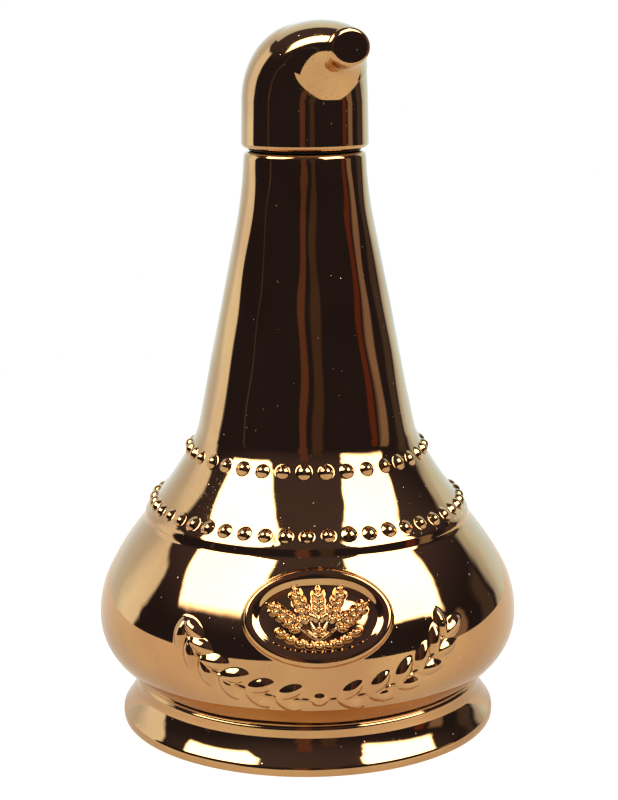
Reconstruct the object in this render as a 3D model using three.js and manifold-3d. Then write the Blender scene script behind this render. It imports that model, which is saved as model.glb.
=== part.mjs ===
// A ceramic spirit decanter in the form of a copper pot still, with a lift-off
// stopper shaped as the still's head.
// Millimetres, +Z up.  The origin is on the axis, in the plane the foot stands
// on, and the front, which carries the oval medallion, faces -Y.

import * as THREE from "three";
import { mergeVertices } from "three/addons/utils/BufferGeometryUtils.js";
import Module from "manifold-3d";

const wasm = await Module();
wasm.setup();

// ---- driving dimensions ---------------------------------------------------

const GAP = 0.3; // running clearance between pieces that touch

// Facets round each turned or lofted surface
const FACETS = { decanter: 48, hollow: 32, head: 36, cavity: 20, cork: 30, washer: 40 };

// Foot: an upright rim, a hollow flare up to a bead, and a recess underneath
const FOOT = {
  radius: 60, edge: 0.9, rim: 2.2, flareBend: [57, 5.8], bead: [55.4, 11.8], height: 13.8,
};
const FOOT_RECESS = { standInner: 50, standOuter: 58.8, chamfer: 2, depth: 3 };
const WAIST = [54.3, 14.1];

// Bulb: a tight lower arc from 45 degrees under the equator, a wide upper arc,
// and a shoulder that curves up to the step
const BULB = {
  equatorR: 66.85, equatorZ: 34.6, lowerR: 20.2, upperR: 30.5, lowestTilt: -45, tilt: 25,
};
const SHOULDER_BEND = [59, 57.5];

// Step and riveted band above the shoulder
const STEP = { radius: 51.7, z: 65.9, lip: 2.2 };
const BAND = { bottom: [50, 70], bend: [41.6, 79.4], top: [35.6, 91.2] };
const RIVET = { radius: 2, rise: 1.3 };
const RIVET_ROWS = [
  { count: 48, along: 0.07, phase: -3 },
  { count: 36, along: 0.86, phase: -4 },
];

// Neck: a long straight cone that turns upright under its rim, with a thick
// collar inside its mouth
const NECK = { bottom: [34.4, 94.2], straightTop: [21.2, 160.4], bend: [19.3, 169.9], rimR: 19 };
const RIM = { z: 181.2, rounding: 1 };
const MOUTH = { radius: 11.75, collarZ: 155, coneR: 19.4, coneZ: 144, flare: 1 };

const WALL = 4.5; // thickness of the cast shell
const FLOOR = { z: 9, radius: 45, cornerR: 49.3, cornerZ: 14 }; // inside floor and its corner

// Medallion and garland, as sizes on the unrolled surface of the bulb: x runs
// round the equator from the front, y up the meridian from the equator
const MEDALLION = { y: 17, halfWidth: 22.4, halfHeight: 13.2, ringWidth: 5.4, ringRise: 1.7 };
const SHEAF = { ears: 5, spread: 96, root: -7.6, stalk: 6.6 };
const STALK = { width: 0.6, rise: 0.8 };
const EAR = { length: 5.2, width: 1.9, rise: 1.5 };
const TIE = { up: 2, length: 3.2, width: 1.1, rise: 1.2 };
const GARLAND = { halfWidth: 44, halfHeight: 25.6, leaves: 13, reach: 74, bud: 2.5 };
const LEAF = { length: 4.4, width: 2.1, rise: 1.5, lean: 36, offset: 1.9 };

// Stopper: a hollow head bent over into a short arm, and a cork glued into its
// base.  The head's sections turn about a level line under the arm, the pivot,
// from the circle at the top of its wall to the oval at the arm's end; "along"
// runs from the axis towards the arm.
const SEAM = 1; // height of the joint between the neck's rim and the head
const HEAD = { radius: 19.5, flare: 0.3, baseZ: RIM.z + SEAM, springZ: 196.2, edge: 1.7, wall: 4.2 };
const CROWN = { along: 1.3, z: 219.95, bend: [11.8, 222.3] };
const ARM = { azimuth: 27, pivot: 26, z: 213.1, halfWidth: 7.2, halfHeight: 5.9, edge: 1.6 };
const THROAT = { z: 197.4, bend: [21.1, 207.2] };
const EARLY_TAPER = 0.62; // share of the head's narrowing that follows the sine of the turn
const CAVITY_TURN = 66; // degrees of the bend that the hollow reaches
const CORK = { topR: 11.75, bottomR: 10.6, topZ: 190.8, bottomZ: 157.8, edge: 0.8 };
const WASHER = { outerR: 17.4, innerR: 12.3 };

const WELD = 1e-4; // vertices closer than this are one
const radians = THREE.MathUtils.degToRad;

// ---- solids: to and from the boolean library ------------------------------

// A closed geometry as a solid: only positions, shared vertices merged, and
// without the slivers that a lathe leaves where its outline meets the axis
function toSolid(geometry) {
  const bare = geometry.clone();
  bare.deleteAttribute("normal");
  bare.deleteAttribute("uv");
  const merged = mergeVertices(bare, WELD);
  const index = merged.index.array;
  const corners = [];
  for (let i = 0; i < index.length; i += 3) {
    const [a, b, c] = [index[i], index[i + 1], index[i + 2]];
    if (a !== b && b !== c && c !== a) corners.push(a, b, c);
  }
  const mesh = new wasm.Mesh({
    numProp: 3,
    vertProperties: new Float32Array(merged.attributes.position.array),
    triVerts: new Uint32Array(corners),
  });
  return new wasm.Manifold(mesh);
}

function toGeometry(solid) {
  const mesh = solid.getMesh();
  const geometry = new THREE.BufferGeometry();
  geometry.setAttribute("position", new THREE.BufferAttribute(mesh.vertProperties, 3));
  geometry.setIndex(new THREE.BufferAttribute(mesh.triVerts, 1));
  geometry.computeVertexNormals();
  return geometry;
}

// ---- outlines: points are [radius, height] --------------------------------

function arc(centreR, centreZ, radius, fromDegrees, toDegrees, steps) {
  return Array.from({ length: steps + 1 }, (_, i) => {
    const angle = radians(THREE.MathUtils.lerp(fromDegrees, toDegrees, i / steps));
    return [centreR + radius * Math.cos(angle), centreZ + radius * Math.sin(angle)];
  });
}

function curve(from, bend, to, steps) {
  const [a, b, c] = [from, bend, to].map((p) => new THREE.Vector2(...p));
  return new THREE.QuadraticBezierCurve(a, b, c).getPoints(steps).map((p) => [p.x, p.y]);
}

// A solid of revolution about +Z, its outline run with the solid on the left
function turned(outline, facets) {
  const points = outline.map(([r, z]) => new THREE.Vector2(Math.max(r, 0), z));
  return new THREE.LatheGeometry(points, facets).rotateX(Math.PI / 2);
}

// The two arcs of the bulb, upward from 45 degrees below the equator, at a
// depth inside the outer surface
function bulbArcs(depth, steps) {
  const lowerCentre = BULB.equatorR - BULB.lowerR;
  const upperCentre = BULB.equatorR - BULB.upperR;
  const lower = arc(lowerCentre, BULB.equatorZ, BULB.lowerR - depth, BULB.lowestTilt, 0, steps);
  const upper = arc(upperCentre, BULB.equatorZ, BULB.upperR - depth, 0, BULB.tilt, steps);
  return [...lower, ...upper.slice(1)];
}

// ---- the decanter ---------------------------------------------------------

function outsideOutline() {
  const bulb = bulbArcs(0, 3);
  return [
    [0, FOOT_RECESS.depth],
    [FOOT_RECESS.standInner, FOOT_RECESS.depth],
    [FOOT_RECESS.standInner + FOOT_RECESS.chamfer, 0],
    [FOOT_RECESS.standOuter, 0],
    [FOOT.radius, FOOT.edge],
    ...curve([FOOT.radius, FOOT.rim], FOOT.flareBend, FOOT.bead, 3),
    [FOOT.bead[0], FOOT.height],
    WAIST,
    ...bulb,
    ...curve(bulb.at(-1), SHOULDER_BEND, [STEP.radius, STEP.z], 3).slice(1),
    [STEP.radius, STEP.z + STEP.lip],
    ...curve(BAND.bottom, BAND.bend, BAND.top, 3),
    NECK.bottom,
    ...curve(NECK.straightTop, NECK.bend, [NECK.rimR, RIM.z - RIM.rounding], 3),
    [NECK.rimR - RIM.rounding, RIM.z],
    [0, RIM.z],
  ];
}

// The hollow follows the outside at the wall's thickness, up to the thick
// collar that grips the cork; it runs past the rim, to cut the mouth open
function insideOutline() {
  const [bandR, bandZ] = BAND.top;
  return [
    [0, FLOOR.z],
    [FLOOR.radius, FLOOR.z],
    [FLOOR.cornerR, FLOOR.cornerZ],
    ...bulbArcs(WALL, 3),
    [STEP.radius - WALL, STEP.z],
    [bandR - WALL, bandZ + 1],
    [MOUTH.coneR, MOUTH.coneZ],
    [MOUTH.radius, MOUTH.collarZ],
    [MOUTH.radius, RIM.z - MOUTH.flare],
    [MOUTH.radius + 2 * MOUTH.flare, RIM.z + MOUTH.flare],
    [0, RIM.z + MOUTH.flare],
  ];
}

// Where a point of the unrolled bulb lies: x mm round the equator, y mm up the
// meridian, and a height above the surface.  Past its upper arc the shoulder
// is nearly straight.
function onBulb(x, y, height) {
  const around = x / BULB.equatorR;
  const arcRadius = y < 0 ? BULB.lowerR : BULB.upperR;
  const tilt = Math.min(y / arcRadius, radians(BULB.tilt));
  const straight = y - tilt * arcRadius;
  const centreR = BULB.equatorR - arcRadius;
  const reach = arcRadius + height;
  const r = centreR + reach * Math.cos(tilt) - straight * Math.sin(tilt);
  const z = BULB.equatorZ + reach * Math.sin(tilt) + straight * Math.cos(tilt);
  return new THREE.Vector3(r * Math.sin(around), -r * Math.cos(around), z);
}

// Bends a relief that was made flat, with z as its height, onto the bulb
function wrapOnBulb(geometry) {
  const position = geometry.attributes.position;
  for (let i = 0; i < position.count; i += 1) {
    const placed = onBulb(position.getX(i), position.getY(i), position.getZ(i));
    position.setXYZ(i, placed.x, placed.y, placed.z);
  }
  return geometry;
}

// A smooth seed-shaped bump lying flat at (x, y), its length turned from +y
function seed(x, y, turn, length, width, rise) {
  const bump = new THREE.SphereGeometry(1, 6, 4);
  bump.scale(width, length, rise);
  bump.rotateZ(radians(turn));
  bump.translate(x, y, 0);
  return bump;
}

function medallionRing() {
  const tube = 0.1;
  const ring = new THREE.TorusGeometry(1, tube, 6, 32);
  const position = ring.attributes.position;
  for (let i = 0; i < position.count; i += 1) {
    const [x, y] = [position.getX(i), position.getY(i)];
    const fromCentre = Math.hypot(x, y);
    const outward = ((fromCentre - 1) / tube) * 0.5 * MEDALLION.ringWidth;
    const scaleX = (MEDALLION.halfWidth + outward) / fromCentre;
    const scaleY = (MEDALLION.halfHeight + outward) / fromCentre;
    const rise = (position.getZ(i) / tube) * MEDALLION.ringRise;
    position.setXYZ(i, x * scaleX, MEDALLION.y + y * scaleY, rise);
  }
  return ring;
}

// A tied sheaf of barley: ears on stalks that fan out from one point
function sheaf() {
  const seeds = [];
  const rootY = MEDALLION.y + SHEAF.root;
  for (let i = 0; i < SHEAF.ears; i += 1) {
    const turn = SHEAF.spread * (0.5 - i / (SHEAF.ears - 1));
    const place = (distance) => [
      -Math.sin(radians(turn)) * distance,
      rootY + Math.cos(radians(turn)) * distance,
    ];
    seeds.push(seed(...place(0.5 * SHEAF.stalk), turn, 0.6 * SHEAF.stalk, STALK.width, STALK.rise));
    seeds.push(seed(...place(SHEAF.stalk + EAR.length), turn, EAR.length, EAR.width, EAR.rise));
  }
  seeds.push(seed(0, rootY + TIE.up, 90, TIE.length, TIE.width, TIE.rise));
  return seeds;
}

// Two leafy sprays that hang in an arc round the medallion's lower half
function garland() {
  const seeds = [];
  for (let i = 0; i < GARLAND.leaves; i += 1) {
    const share = (2 * i) / (GARLAND.leaves - 1) - 1;
    const angle = radians(GARLAND.reach * share);
    const x = GARLAND.halfWidth * Math.sin(angle);
    const y = MEDALLION.y - GARLAND.halfHeight * Math.cos(angle);
    const slope = Math.atan2(GARLAND.halfHeight * Math.sin(angle), GARLAND.halfWidth * Math.cos(angle));
    const along = THREE.MathUtils.radToDeg(slope) - 90;
    const side = Math.sign(share);
    if (side === 0) {
      seeds.push(seed(x, y, 0, GARLAND.bud, GARLAND.bud, LEAF.rise));
      continue;
    }
    for (const leaf of [-1, 1]) {
      const away = [-Math.sin(slope) * leaf * LEAF.offset, Math.cos(slope) * leaf * LEAF.offset];
      const turn = along + side * leaf * LEAF.lean;
      seeds.push(seed(x + away[0], y + away[1], turn, LEAF.length, LEAF.width, LEAF.rise));
    }
  }
  return seeds;
}

// Domes of the cast rivet heads, standing square to the band's slope
function rivets() {
  const [a, b, c] = [BAND.bottom, BAND.bend, BAND.top].map((p) => new THREE.Vector2(...p));
  const slope = new THREE.QuadraticBezierCurve(a, b, c);
  const domes = [];
  for (const row of RIVET_ROWS) {
    const [r, z] = slope.getPoint(row.along).toArray();
    const tangent = slope.getTangent(row.along);
    const lean = Math.atan2(-tangent.x, tangent.y);
    for (let i = 0; i < row.count; i += 1) {
      const dome = new THREE.SphereGeometry(1, 6, 3);
      dome.scale(RIVET.radius, RIVET.rise, RIVET.radius);
      dome.rotateX(Math.PI - lean);
      dome.translate(0, -r, z);
      dome.rotateZ(radians(row.phase + (360 * i) / row.count));
      domes.push(dome);
    }
  }
  return domes;
}

function decanterBody() {
  const shell = toSolid(turned(outsideOutline(), FACETS.decanter));
  const hollow = toSolid(turned(insideOutline(), FACETS.hollow));
  const relief = [medallionRing(), ...sheaf(), ...garland()].map(wrapOnBulb);
  const raised = [...relief, ...rivets()].map(toSolid);
  return toGeometry(wasm.Manifold.union([shell, ...raised]).subtract(hollow));
}

// ---- the stopper ----------------------------------------------------------

const UP = new THREE.Vector3(0, 0, 1);
const ARM_WAY = new THREE.Vector3(
  Math.sin(radians(ARM.azimuth)), -Math.cos(radians(ARM.azimuth)), 0);
const ACROSS = ARM_WAY.clone().cross(UP);

// A point from its distance along the arm, across it, and its height
function inArmFrame(along, across, z) {
  return ARM_WAY.clone().multiplyScalar(along).addScaledVector(ACROSS, across).setZ(z);
}

// A closed loop of points: place gives the one at a cosine and a sine
function loop(around, place) {
  return Array.from({ length: around }, (_, i) => {
    const angle = (2 * Math.PI * i) / around;
    return place(Math.cos(angle), Math.sin(angle));
  });
}

const levelRing = (r, z, around) => loop(around, (c, s) => inArmFrame(-r * c, r * s, z));

// The head's outline in the upright plane of the arm: over the back in a
// quarter of an ellipse and along the crown, and under the throat
const BACK_CURVE = new THREE.EllipseCurve(
  CROWN.along, HEAD.springZ, HEAD.radius + CROWN.along, CROWN.z - HEAD.springZ,
  Math.PI, 0.5 * Math.PI, true);
const CROWN_LINE = [
  ...BACK_CURVE.getPoints(24).map((p) => [p.x, p.y]),
  ...curve([CROWN.along, CROWN.z], CROWN.bend, [ARM.pivot, ARM.z + ARM.halfHeight], 16).slice(1),
];
const THROAT_LINE = [
  [HEAD.radius, HEAD.springZ],
  ...curve([HEAD.radius, THROAT.z], THROAT.bend, [ARM.pivot, ARM.z - ARM.halfHeight], 24),
];

// How far a line of the outline lies from the pivot at a turn, which goes from
// 0, level and backwards, to a right angle, straight up
function distanceAt(turn, line) {
  const seen = line.map(([along, z]) => new THREE.Vector2(ARM.pivot - along, z - HEAD.springZ));
  const angles = seen.map((p) => Math.atan2(p.y, p.x));
  const reached = angles.findIndex((angle) => angle >= turn - WELD);
  const next = Math.max(1, reached);
  const share = (turn - angles[next - 1]) / (angles[next] - angles[next - 1]);
  return THREE.MathUtils.lerp(seen[next - 1].length(), seen[next].length(), share);
}

// One section of the bend, an oval, at a depth inside the outer surface
function bendRing(turn, depth, around) {
  const far = distanceAt(turn, CROWN_LINE);
  const near = distanceAt(turn, THROAT_LINE);
  const halfLength = 0.5 * (far - near) - depth;
  const late = (turn / (0.5 * Math.PI)) ** 2;
  const taper = THREE.MathUtils.lerp(late, Math.sin(turn) ** 2, EARLY_TAPER);
  const halfWidth = THREE.MathUtils.lerp(HEAD.radius, ARM.halfWidth, taper) - depth;
  return loop(around, (c, s) => {
    const out = 0.5 * (far + near) + halfLength * c;
    return inArmFrame(ARM.pivot - out * Math.cos(turn), halfWidth * s, HEAD.springZ + out * Math.sin(turn));
  });
}

function bendRings(lastTurn, steps, depth, around) {
  return Array.from({ length: steps + 1 }, (_, i) =>
    bendRing(radians((lastTurn * i) / steps), depth, around));
}

// The rounded edge of the arm's end
function armEnd(around) {
  return [45, 90].map((degrees) => {
    const inset = ARM.edge * (1 - Math.cos(radians(degrees)));
    const along = ARM.pivot + ARM.edge * Math.sin(radians(degrees));
    return loop(around, (c, s) =>
      inArmFrame(along, (ARM.halfWidth - inset) * s, ARM.z + (ARM.halfHeight - inset) * c));
  });
}

// A closed body from rings of points, closed at the middle of both end rings
function lofted(rings) {
  const around = rings[0].length;
  const middle = (ring) => ring.reduce((sum, p) => sum.add(p), new THREE.Vector3()).divideScalar(around);
  const points = [middle(rings[0]), ...rings.flat(), middle(rings.at(-1))];
  const at = (row, i) => 1 + row * around + (i % around);
  const index = [];
  for (let i = 0; i < around; i += 1) {
    index.push(0, at(0, i + 1), at(0, i));
    for (let row = 0; row + 1 < rings.length; row += 1) {
      index.push(at(row, i), at(row, i + 1), at(row + 1, i + 1));
      index.push(at(row, i), at(row + 1, i + 1), at(row + 1, i));
    }
    index.push(at(rings.length - 1, i), at(rings.length - 1, i + 1), points.length - 1);
  }
  const geometry = new THREE.BufferGeometry().setFromPoints(points);
  geometry.setIndex(index);
  return geometry;
}

function stopperHead() {
  const wallR = HEAD.radius + HEAD.flare;
  const outside = toSolid(lofted([
    levelRing(wallR - HEAD.edge, HEAD.baseZ, FACETS.head),
    levelRing(wallR, HEAD.baseZ + HEAD.edge, FACETS.head),
    ...bendRings(90, 14, 0, FACETS.head),
    ...armEnd(FACETS.head),
  ]));
  const inside = toSolid(lofted([
    levelRing(HEAD.radius - HEAD.wall, HEAD.baseZ + HEAD.wall, FACETS.cavity),
    ...bendRings(CAVITY_TURN, 6, HEAD.wall, FACETS.cavity),
  ]));
  const socketR = CORK.topR + GAP;
  const socket = toSolid(turned([
    [0, HEAD.baseZ - 1],
    [socketR, HEAD.baseZ - 1],
    [socketR, HEAD.baseZ + HEAD.wall + 1],
    [0, HEAD.baseZ + HEAD.wall + 1],
  ], FACETS.cork));
  return toGeometry(outside.subtract(inside).subtract(socket));
}

function stopperCork() {
  return turned([
    [0, CORK.bottomZ],
    [CORK.bottomR - CORK.edge, CORK.bottomZ],
    [CORK.bottomR, CORK.bottomZ + CORK.edge],
    [CORK.topR, CORK.topZ - CORK.edge],
    [CORK.topR - CORK.edge, CORK.topZ],
    [0, CORK.topZ],
  ], FACETS.cork);
}

function seatWasher() {
  const low = RIM.z + GAP;
  const high = HEAD.baseZ - GAP;
  return turned([
    [WASHER.innerR, low],
    [WASHER.outerR, low],
    [WASHER.outerR, high],
    [WASHER.innerR, high],
    [WASHER.innerR, low],
  ], FACETS.washer);
}

// ---- assembly -------------------------------------------------------------

const copperLustre = { color: 0xb87a4a, roughness: 0.08, metalness: 0.95 };
const naturalCork = { color: 0xb98a5a, roughness: 0.85, metalness: 0 };
const darkRubber = { color: 0x1a1613, roughness: 0.7, metalness: 0 };

function piece(name, geometry, finish) {
  const mesh = new THREE.Mesh(geometry, new THREE.MeshStandardMaterial(finish));
  mesh.name = name;
  return mesh;
}

const decanter = new THREE.Group();
decanter.add(piece("decanter_body", decanterBody(), copperLustre));
decanter.add(piece("seat_washer", seatWasher(), darkRubber));
decanter.add(piece("stopper_head", stopperHead(), copperLustre));
decanter.add(piece("stopper_cork", stopperCork(), naturalCork));

export default decanter;
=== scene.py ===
import math

import bpy
import numpy as np
from mathutils import Euler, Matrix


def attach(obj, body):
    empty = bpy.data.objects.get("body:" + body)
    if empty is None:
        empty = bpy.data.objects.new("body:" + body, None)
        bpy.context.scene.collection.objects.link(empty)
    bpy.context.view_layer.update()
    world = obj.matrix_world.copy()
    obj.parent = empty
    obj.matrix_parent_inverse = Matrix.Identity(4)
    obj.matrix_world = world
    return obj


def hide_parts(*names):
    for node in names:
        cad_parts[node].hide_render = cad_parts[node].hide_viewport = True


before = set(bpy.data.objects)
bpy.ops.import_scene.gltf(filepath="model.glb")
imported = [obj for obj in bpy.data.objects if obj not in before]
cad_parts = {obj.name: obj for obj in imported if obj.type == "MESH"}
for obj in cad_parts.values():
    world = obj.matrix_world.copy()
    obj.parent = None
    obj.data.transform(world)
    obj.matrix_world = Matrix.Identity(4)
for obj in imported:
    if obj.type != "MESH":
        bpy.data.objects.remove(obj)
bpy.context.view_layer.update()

# A copper-lustre ceramic decanter in the form of a pot still.  Lengths in the
# shape code are millimetres, with +Z up, the axis at x = y = 0 and the front
# (the medallion) facing -Y, as in the CAD frame; MM turns them into metres.
MM = 0.001
TURN = 2 * math.pi

# ---- sizes of the bottle ----------------------------------------------------------
# Pairs are (distance from the axis, height); a bend is the handle of a curve.

FOOT = {"radius": 60.0, "rim": 2.8, "flare_bend": (57.2, 6.0), "bead_r": 55.4, "bead_z": 10.6,
        "height": 13.8, "waist_r": 54.3, "waist_rise": 0.3, "stand_outer": 58.8,
        "stand_inner": 50.0, "recess": 3.0, "recess_slope": 2.0}
BULB = {"equator_r": 66.85, "equator_z": 34.6, "lower_r": 20.2, "upper_r": 30.5,
        "lowest_tilt": -45.0, "tilt": 25.0, "shoulder_bend": (59.0, 57.5)}
STEP = {"radius": 51.7, "z": 65.9, "lip": 2.2, "draft": 0.1}
BAND = {"bottom": (50.0, 70.0), "bend": (41.6, 79.4), "top": (35.6, 91.2)}
NECK = {"bottom": (34.4, 94.2), "straight_top": (21.2, 160.4), "bend": (19.3, 169.9),
        "rim_r": 19.0, "rim_z": 181.2, "rim_round": 1.0, "crest": 2.5}
MOUTH = {"radius": 11.75, "collar_z": 155.0, "cone_r": 19.4, "cone_z": 144.0, "flare": 0.9,
         "glazed_depth": 3.0}
INSIDE = {"wall": 4.5, "heel": (49.3, 14.0), "floor_r": 45.0, "floor_z": 9.0, "shoulder_rise": 1.0}
GLAZE_SOFTNESS = 0.55  # how far the glaze rounds an edge
LINE_STEP = 0.1        # between the points of a finely drawn outline
HIDDEN_STEP = 1.5      # the same for the inside and the underside
CURVE_POINTS = 200
TINY = 1e-6

# ---- sizes of the relief ----------------------------------------------------------
# On the unrolled surface of the bulb x runs round the equator from the front and y up
# the meridian from the equator.  Angles are degrees, apart from the radians of "splay" in
# SHEAF and "tilt" in ROPE.  RIVET_SPREAD holds standard deviations: a shift in mm, and
# shares of the rise and the radius.

RIVET = {"radius": 2.25, "rise": 1.35}
RIVET_SPREAD = {"shift": 0.13, "rise": 0.09, "radius": 0.05}
RIVET_ROWS = [
    {"count": 48, "z": 71.4, "phase": -3.0},
    {"count": 36, "z": 88.1, "phase": -4.0},
]
EMBLEM_AREA = {"side": 54, "bottom": -16, "top": 36}
MEDALLION = {"y": 17.0, "half_width": 22.4, "half_height": 13.2, "ring_rise": 1.7,
             "outer_slope": 1.9, "inner_slope": 3.4}
PANEL = {"inset": 3, "depth": 0.45, "edge": 0.94, "steepness": 26}
SHEAF = {"ears": (58, 29, 0, -29, -58), "root_drop": 6.6, "side_stretch": 0.30, "stalk_out": 3.6,
         "grains": 4, "grain_out": 6.4, "grain_gap": 2.15, "rank_out": 1.15, "rank_narrows": 0.12,
         "splay": 0.42, "tip_out": 14.6, "tie_out": 2.2, "tie_gap": 0.6, "mound_drop": 0.5}
ROPE = {"lumps": 9, "half_width": 11.8, "drop": 8.4, "sag": 3.6, "tilt": 0.55}
GARLAND = {"half_width": 44.0, "half_height": 25.6, "places": 13, "reach": 74.0, "splay": 34.0,
           "leaf_out": 2.2, "stem_lumps": 40, "stem_reach": 0.98}

# Half length, half width and rise in mm, and the sharpness of the midrib (0 to 1)
MOUND = (14.0, 6.8, 0.85, 0.0)
STALK = (4.6, 0.65, 1.1, 0.0)
GRAIN = (2.1, 1.3, 1.8, 0.1)
TIP_GRAIN = (1.7, 0.8, 1.3, 0.1)
TIE = (2.7, 0.7, 1.5, 0.0)
ROPE_LUMP = (1.8, 1.35, 1.6, 0.0)
LEAF = (5.1, 2.5, 1.55, 0.45)
BUD = (2.6, 2.6, 1.35, 0.0)
STEM_LUMP = (1.7, 0.6, 0.6, 0.0)
RIB_ROUNDING = 0.02

# Height in mm, waves round the form, drift in radians for each mm along the outline, phase
RIPPLES = [
    (0.030, 3, 0.05, 0.9),
    (0.050, 7, -0.11, 2.1),
    (0.028, 11, 0.21, 4.0),
]
# Level rings in the glaze, which sway up and down as they go round
RINGS = {"height": 0.010, "drift": 0.35, "sway": 1.3, "sways": 4}
RELIEF_SOFTNESS = 0.13  # how widely the glaze fills the corner round a raised shape
FAR_BELOW = -9.0        # stands for "no raised shape here"
FADE = {"foot": 3, "rim": 5}  # the relief and the ripple die out over these lengths

# ---- sizes of the stopper -----------------------------------------------------------
# The head is a bent tube.  Its sections turn about a level line under the arm, from the
# circle at the top of its wall to the oval at the arm's end.  "along" runs from the axis
# towards the arm.

HEAD = {"radius": 19.5, "flare": 0.3, "base_z": 182.2, "spring_z": 196.2, "edge": 1.7, "wall": 4.2,
        "edge_turns": (8, 82, 10), "columns": 240, "wall_rows": 16, "bend_rows": 130}
HOLLOW = {"turn": 66, "rows": 24}
SOCKET = {"clearance": 0.4, "flare": 0.6, "step": 0.15}
CROWN = {"along": 1.3, "z": 219.95, "bend": (11.8, 222.3)}
ARM = {"azimuth": 27.0, "pivot": 26.0, "z": 213.1, "half_width": 7.2, "half_height": 5.9,
       "edge": 1.6, "edge_turns": (10, 86, 9), "dome": 0.12, "dome_width": 2.6,
       "dome_rows": (0.25, 0.6, 1.0, 1.4)}
THROAT = {"z": 197.4, "bend": (21.1, 207.2)}
EARLY_TAPER = 0.62  # share of the head's narrowing that follows the sine of the turn
CORK = {"top_r": 11.7, "bottom_r": 10.55, "top_z": 190.8, "bottom_z": 157.8, "bevel": 0.5,
        "side_rows": (0.03, 0.97, 60), "softness": 0.3, "rows_each": 4, "centre_hole": 0.3}
PITS = {"count": 120, "end_margin": 1, "depth": (0.15, 0.4), "half_length": (0.4, 1.5),
        "half_height": 0.35, "deepest": 0.5, "radius": 11}
WASHER = {"outer_r": 17.4, "inner_r": 12.35, "low_z": 181.5, "high_z": 181.9}
SMALL_COLUMNS = 120  # points round the cork and the washer

# ---- camera, table and lights ---------------------------------------------------------
# Angles are degrees.  In the studio azimuth 0 is the front, and it grows to the right.

CAMERA = {"azimuth": -3.0, "distance": 600.6, "height": 230.0, "pitch": 12.0, "yaw": 0.083,
          "roll": -0.3, "lens": 87.1, "sensor": 36, "far_m": 20}
TABLE = {"radius_m": 0.6, "sides": 96, "roughness": 0.6, "colour": (0.30, 0.288, 0.262, 1),
         "glow_colour": (1.0, 0.975, 0.93, 1), "glow_reflected": 0.42, "glow_seen": 0.85}
DEGREES = 57.3  # in a radian
WHITE = (1.0, 1.0, 1.0, 1)
ROOM = {"low": (0.026, 0.024, 0.040, 1), "high": (0.085, 0.070, 0.10, 1), "rise": (14, 45)}
WANDER = {"scale": 5.0, "detail": 2, "reach": 9.0}  # how the lights' edges waver

# Faint upright shapes in the dark room: azimuths, elevations, softness, colour
UNDER_BOXES = (-30, 16)
STREAKS = [
    ((-12, -2), (-30, 36), 1.6, (0.15, 0.075, 0.060, 1)),
    ((5, 15), (-30, 30), 1.8, (0.085, 0.060, 0.055, 1)),
    ((69, 77), UNDER_BOXES, 1.6, (0.15, 0.045, 0.032, 1)),
    ((81, 93), UNDER_BOXES, 2.0, (0.33, 0.26, 0.24, 1)),
    ((106, 120), UNDER_BOXES, 3.0, (0.085, 0.075, 0.080, 1)),
    ((-71.0, -69.2), UNDER_BOXES, 0.5, (0.10, 0.08, 0.09, 1)),
]

# A softbox's lower edge is level in space: "slope" is its height over its distance.  The
# near and far sides are azimuths at elevation 0, and they lean as they rise.
SOFTBOX_COLOUR = (8.0, 7.6, 6.8, 1)
SOFTBOX_EDGE = {"bottom": 2.4, "near": 2.0, "far": 2.4, "top": (64, 60)}
SOFTBOXES = [
    {"facing": -37, "slope": 0.72, "near": 58.0, "near_lean": -0.4, "far": 58.0, "far_lean": 1.0},
    {"facing": 45, "slope": 0.53, "near": 36.0, "near_lean": 0.0, "far": 73.0, "far_lean": 0.4},
]

# The bright walls behind, each a first tone and then (azimuths of a change, next tone)
WALLS = [
    {"edge": (-105, -109), "first": (1.2, 1.36, 1.42, 1),
     "next": [((-122, -136), (0.78, 0.90, 0.92, 1)), ((-138, -168), (0.92, 1.10, 1.12, 1))]},
    {"edge": (122, 128), "first": (0.60, 0.68, 0.74, 1),
     "next": [((127, 139), (0.84, 1.06, 1.10, 1))]},
]
WALL_TOP = {"azimuths": (112, 175), "elevations": (28, 48), "soft": 1.5}

rng = np.random.default_rng(7)

# ---- camera and studio -------------------------------------------------------


def make_camera():
    data = bpy.data.cameras.new("camera")
    data.lens = CAMERA["lens"]
    data.sensor_width = CAMERA["sensor"]
    data.clip_end = CAMERA["far_m"]
    camera = bpy.data.objects.new("camera", data)
    azimuth = math.radians(CAMERA["azimuth"])
    reach = CAMERA["distance"] * MM
    camera.location = (reach * math.sin(azimuth), -reach * math.cos(azimuth), CAMERA["height"] * MM)
    tilt = math.radians(90 - CAMERA["pitch"])
    turn = azimuth - math.radians(CAMERA["yaw"])
    roll = Euler((0, 0, math.radians(CAMERA["roll"]))).to_matrix()
    look = Euler((tilt, 0, turn)).to_matrix() @ roll
    camera.rotation_euler = look.to_euler()
    bpy.context.scene.collection.objects.link(camera)
    bpy.context.scene.camera = camera


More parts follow.
